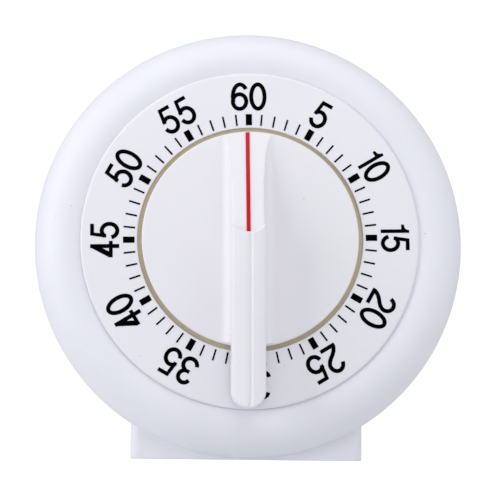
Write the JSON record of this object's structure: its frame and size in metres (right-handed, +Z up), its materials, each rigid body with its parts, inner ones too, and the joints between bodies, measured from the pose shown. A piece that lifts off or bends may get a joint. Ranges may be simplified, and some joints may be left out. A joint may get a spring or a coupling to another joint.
{
  "type": "kitchen timer",
  "caption": "Round wind-up kitchen timer on a flat foot, with a minute dial, a turn knob with a tall handle and pointer, a spring movement and a bell.",
  "frame": {"origin": "on the table, under the middle of the object's bounding box", "axes": "+X to the right as seen from the front, -Y towards the user out of the dial, +Z up"},
  "size_m": [0.095, 0.0478, 0.0953],
  "materials": {
    "case_plastic": "satin moulded ABS, cool white",
    "dial_plastic": "satin moulded ABS, cool white",
    "knob_plastic": "satin moulded ABS, cool white",
    "black_ink": "printed ink",
    "tan_ring": "tan plastic",
    "red_paint": "red plastic strip",
    "zinc_screws": "zinc plated",
    "plate_brass": "rolled brass sheet",
    "wheel_brass": "stamped brass",
    "turned_steel": "turned and polished",
    "stamped_steel": "stamped",
    "spring_steel": "blued spring strip",
    "bell_steel": "nickel plated"
  },
  "bodies": {
    "case": {"front_housing": "case_plastic", "rear_housing": "case_plastic", "dial_plate": "dial_plastic", "minute_marks": "black_ink", "dial_ring": "tan_ring", "case_screws": "zinc_screws", "front_plate": "plate_brass", "rear_plate": "plate_brass", "plate_pillars": "turned_steel", "pillar_screws": "zinc_screws", "movement_screws": "zinc_screws", "mainspring": "spring_steel", "spring_post": "turned_steel", "bell": "bell_steel", "bell_washer": "zinc_screws", "bell_screw": "zinc_screws", "lever_stud": "turned_steel", "lever_spring": "spring_steel"},
    "knob": {"knob": "knob_plastic", "pointer_line": "red_paint", "knob_clip": "spring_steel", "main_arbor": "turned_steel", "main_wheel": "wheel_brass", "clutch_collar": "turned_steel", "clutch_washer": "wheel_brass", "trip_cam": "stamped_steel"},
    "second_arbor": {"second_pinion": "turned_steel", "second_wheel": "wheel_brass"},
    "third_arbor": {"third_pinion": "turned_steel", "third_wheel": "wheel_brass"},
    "fourth_arbor": {"fourth_pinion": "turned_steel", "fourth_wheel": "wheel_brass"},
    "escape_arbor": {"escape_pinion": "turned_steel", "escape_wheel": "wheel_brass"},
    "balance": {"balance_staff": "turned_steel", "balance_wheel": "wheel_brass", "pallet_yoke": "stamped_steel", "pallet_pins": "turned_steel"},
    "strike_barrel": {"strike_barrel": "wheel_brass", "barrel_cap": "wheel_brass", "strike_spring": "spring_steel"},
    "strike_arbor": {"strike_pinion": "turned_steel", "star_wheel": "stamped_steel"},
    "hammer": {"hammer_arbor": "turned_steel", "hammer_arm": "stamped_steel", "hammer_head": "wheel_brass", "hammer_anchor": "stamped_steel", "hammer_detent": "stamped_steel"},
    "release_lever": {"release_lever": "stamped_steel"}
  },
  "joints": [
    {"name": "knob_turn", "type": "hinge", "parent": "case", "child": "knob", "pos_m": [0, 0, 0.0478], "axis": [0, 1, 0], "range_deg": [0, 355], "stiffness_Nm_per_rad": 0.0005, "deforming": ["mainspring"]},
    {"name": "second_turn", "type": "hinge", "parent": "case", "child": "second_arbor", "pos_m": [-0.01579, 0, 0.04205], "axis": [0, 1, 0], "continuous": true},
    {"name": "third_turn", "type": "hinge", "parent": "case", "child": "third_arbor", "pos_m": [-0.01704, 0, 0.0564], "axis": [0, 1, 0], "continuous": true},
    {"name": "fourth_turn", "type": "hinge", "parent": "case", "child": "fourth_arbor", "pos_m": [-0.00525, 0, 0.06466], "axis": [0, 1, 0], "continuous": true},
    {"name": "escape_turn", "type": "hinge", "parent": "case", "child": "escape_arbor", "pos_m": [0.00675, 0, 0.06465], "axis": [0, 1, 0], "continuous": true},
    {"name": "balance_swing", "type": "hinge", "parent": "case", "child": "balance", "pos_m": [0.01605, 0, 0.06267], "axis": [0, 1, 0], "range_deg": [-10, 10]},
    {"name": "barrel_turn", "type": "hinge", "parent": "case", "child": "strike_barrel", "pos_m": [0, 0, 0.0478], "axis": [0, 1, 0], "range_deg": [0, 300], "stiffness_Nm_per_rad": 0.0002, "deforming": ["strike_spring"]},
    {"name": "star_turn", "type": "hinge", "parent": "case", "child": "strike_arbor", "pos_m": [0.01455, 0, 0.0394], "axis": [0, 1, 0], "continuous": true},
    {"name": "hammer_swing", "type": "hinge", "parent": "case", "child": "hammer", "pos_m": [0.01585, 0, 0.03201], "axis": [0, -1, 0], "range_deg": [0, 5], "stiffness_Nm_per_rad": 0.002, "springref_deg": -11.46},
    {"name": "lever_drop", "type": "hinge", "parent": "case", "child": "release_lever", "pos_m": [-0.012, 0, 0.0348], "axis": [0, -1, 0], "range_deg": [0, 9]}
  ],
  "couplings": [
    {"joint": "second_turn", "follows": "knob_turn", "ratio": -6},
    {"joint": "third_turn", "follows": "knob_turn", "ratio": 30},
    {"joint": "fourth_turn", "follows": "knob_turn", "ratio": -150},
    {"joint": "escape_turn", "follows": "knob_turn", "ratio": 600},
    {"joint": "star_turn", "follows": "barrel_turn", "ratio": -6}
  ]
}
